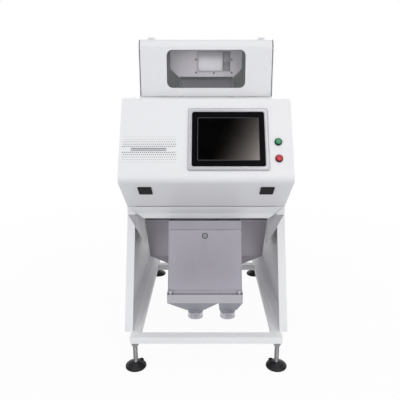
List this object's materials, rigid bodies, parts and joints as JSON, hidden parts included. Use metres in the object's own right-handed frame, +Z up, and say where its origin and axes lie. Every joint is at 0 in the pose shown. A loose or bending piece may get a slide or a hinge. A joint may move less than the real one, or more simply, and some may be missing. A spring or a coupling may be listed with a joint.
{
  "type": "optical colour sorter",
  "caption": "Floor-standing optical sorter: feeder housing with window, swing-up touch-screen control box, leaning stainless bin with round outlets, tube frame on levelling feet.",
  "frame": {"origin": "on the floor, below the middle of the bounding box", "axes": "+X to the operator's right, +Y to the back, +Z up"},
  "size_m": [0.7, 1.05, 1.387],
  "materials": {
    "white_paint": "satin powder coat",
    "stainless": "brushed",
    "funnel_steel": "satin, in shade",
    "zinc": "zinc plated",
    "foot_black": "moulded, with a zinc plated stud",
    "dark_metal": "satin",
    "dark_plastic": "matte",
    "black_plastic": "moulded",
    "light_plastic": "matte",
    "silver_trim": "anodised",
    "gloss_black": "gloss",
    "display_glass": "dark glass over an unlit display",
    "clear_pane": "clear acrylic",
    "green_button": "gloss",
    "red_button": "gloss"
  },
  "bodies": {
    "frame": {"side_rails": "white_paint", "front_bar": "white_paint", "mid_bar": "white_paint", "rear_bar": "white_paint", "lock_nuts": "zinc", "side_panel_left": "white_paint", "side_panel_right": "white_paint", "chamber_sides": "white_paint", "sill": "white_paint", "lip": "white_paint", "shelf": "stainless", "rear_cover": "white_paint", "top_deck": "white_paint", "feeder_housing": "white_paint", "inlet_collar": "stainless", "feed_hopper": "stainless", "feeder_drive": "dark_metal", "feeder_plate": "stainless", "feeder_screws": "dark_metal", "chute": "stainless", "chute_beams": "stainless", "front_camera": "dark_plastic", "rear_camera": "dark_plastic", "led_bars": "light_plastic", "background_plates": "light_plastic", "ejector": "stainless", "air_pipe": "stainless", "electronics": "dark_plastic", "fan_frame": "black_plastic", "collecting_funnel": "funnel_steel", "bin_body": "stainless", "bin_flange": "stainless", "bin_funnels": "stainless", "outlets": "stainless", "regulator": "dark_metal", "cable_gland": "black_plastic"},
    "control_box": {"control_box": "white_paint", "screen_trim": "silver_trim", "screen_bezel": "gloss_black", "display": "display_glass", "panel_computer": "dark_plastic", "vent_insert": "light_plastic", "button_rings": "black_plastic", "latch_housings": "black_plastic"},
    "window_cover": {"window_cover": "white_paint", "window_pane": "clear_pane"},
    "start_button": {"start_button": "green_button"},
    "stop_button": {"stop_button": "red_button"},
    "latch_left": {"latch_left": "black_plastic"},
    "latch_right": {"latch_right": "black_plastic"},
    "bin_door": {"bin_door": "stainless"},
    "bin_lock": {"bin_lock": "zinc"},
    "feed_gate": {"feed_gate": "stainless"},
    "feeder_tray": {"feeder_tray": "stainless"},
    "fan_rotor": {"fan_rotor": "dark_plastic"},
    "regulator_knob": {"regulator_knob": "black_plastic"},
    "foot_front_left": {"foot_front_left": "foot_black"},
    "foot_front_right": {"foot_front_right": "foot_black"},
    "foot_rear_left": {"foot_rear_left": "foot_black"},
    "foot_rear_right": {"foot_rear_right": "foot_black"}
  },
  "joints": [
    {"name": "control_box_hinge", "type": "hinge", "parent": "frame", "child": "control_box", "pos_m": [0, -0.098, 1.1195], "axis": [-1, 0, 0], "range_deg": [0, 60]},
    {"name": "window_cover_hinge", "type": "hinge", "parent": "frame", "child": "window_cover", "pos_m": [0, -0.03, 1.38], "axis": [-1, 0, 0], "range_deg": [0, 100]},
    {"name": "start_press", "type": "slide", "parent": "control_box", "child": "start_button", "axis": [0, 0.8531, -0.5218], "range_m": [0, 0.004], "stiffness_N_per_m": 500, "springref_m": -0.006},
    {"name": "stop_press", "type": "slide", "parent": "control_box", "child": "stop_button", "axis": [0, 0.8531, -0.5218], "range_m": [0, 0.004], "stiffness_N_per_m": 500, "springref_m": -0.006},
    {"name": "latch_left_pull", "type": "hinge", "parent": "control_box", "child": "latch_left", "pos_m": [-0.25, -0.40373, 0.77333], "axis": [-1, 0, 0], "range_deg": [0, 40], "stiffness_Nm_per_rad": 0.2, "springref_deg": -22.92},
    {"name": "latch_right_pull", "type": "hinge", "parent": "control_box", "child": "latch_right", "pos_m": [0.25, -0.40373, 0.77333], "axis": [-1, 0, 0], "range_deg": [0, 40], "stiffness_Nm_per_rad": 0.2, "springref_deg": -22.92},
    {"name": "bin_door_hinge", "type": "hinge", "parent": "frame", "child": "bin_door", "pos_m": [0, -0.41375, 0.3178], "axis": [1, 0, 0], "range_deg": [0, 110]},
    {"name": "bin_lock_turn", "type": "hinge", "parent": "bin_door", "child": "bin_lock", "pos_m": [-0.005, -0.31263, 0.53827], "axis": [0, -0.919, 0.3943], "range_deg": [0, 90]},
    {"name": "feed_gate_lift", "type": "slide", "parent": "frame", "child": "feed_gate", "axis": [0, 0, 1], "range_m": [0, 0.025]},
    {"name": "tray_shake", "type": "slide", "parent": "frame", "child": "feeder_tray", "axis": [0, 1, 0], "range_m": [-0.0015, 0.0015], "stiffness_N_per_m": 30000},
    {"name": "fan_spin", "type": "hinge", "parent": "frame", "child": "fan_rotor", "pos_m": [0.15, 0.45, 0.9], "axis": [0, 1, 0], "continuous": true},
    {"name": "regulator_turn", "type": "hinge", "parent": "frame", "child": "regulator_knob", "pos_m": [-0.23, 0.495, 0.72], "axis": [0, 0, 1], "range_deg": [-170, 170]},
    {"name": "foot_front_left_turn", "type": "hinge", "parent": "frame", "child": "foot_front_left", "pos_m": [-0.3035, -0.48, 0.06], "axis": [0, 0, 1], "continuous": true},
    {"name": "foot_front_right_turn", "type": "hinge", "parent": "frame", "child": "foot_front_right", "pos_m": [0.3035, -0.48, 0.06], "axis": [0, 0, 1], "continuous": true},
    {"name": "foot_rear_left_turn", "type": "hinge", "parent": "frame", "child": "foot_rear_left", "pos_m": [-0.3035, 0.48, 0.06], "axis": [0, 0, 1], "continuous": true},
    {"name": "foot_rear_right_turn", "type": "hinge", "parent": "frame", "child": "foot_rear_right", "pos_m": [0.3035, 0.48, 0.06], "axis": [0, 0, 1], "continuous": true}
  ]
}
